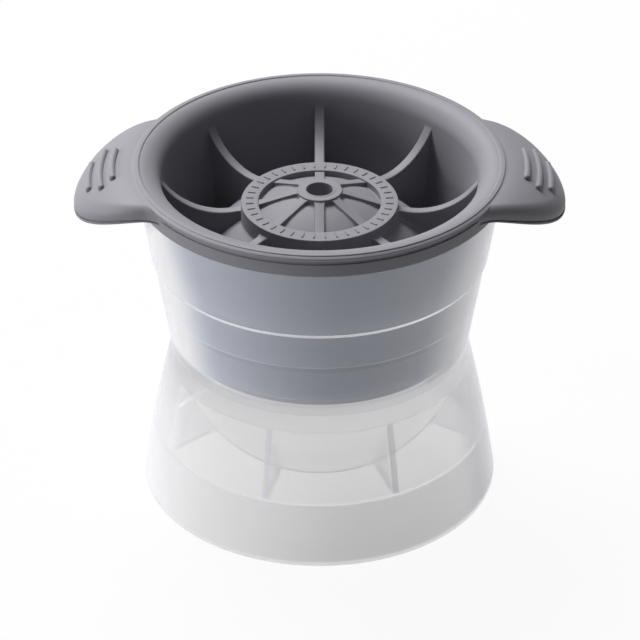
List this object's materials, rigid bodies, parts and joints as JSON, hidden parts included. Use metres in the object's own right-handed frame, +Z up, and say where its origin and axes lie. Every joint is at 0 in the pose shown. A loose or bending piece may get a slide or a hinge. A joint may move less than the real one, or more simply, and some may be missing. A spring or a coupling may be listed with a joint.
{
  "type": "ice ball mould",
  "caption": "Round ice ball mould: a soft grey silicone cap with pull tabs, ribs and a vent plugs into a frosted base cup with a flared skirt.",
  "frame": {"origin": "centre of the foot ring, on the floor that the base stands on", "axes": "+Z up along the round axis, X along the two pull tabs"},
  "size_m": [0.112, 0.0848, 0.0835],
  "materials": {
    "silicone": "matt moulded silicone",
    "polypropylene": "frosted translucent polypropylene"
  },
  "bodies": {
    "base": {"base_cup": "polypropylene"},
    "cap": {"silicone_cap": "silicone"}
  },
  "joints": [
    {"name": "cap_lift", "type": "slide", "parent": "base", "child": "cap", "axis": [0, 0, 1], "range_m": [0, 0.06]}
  ]
}
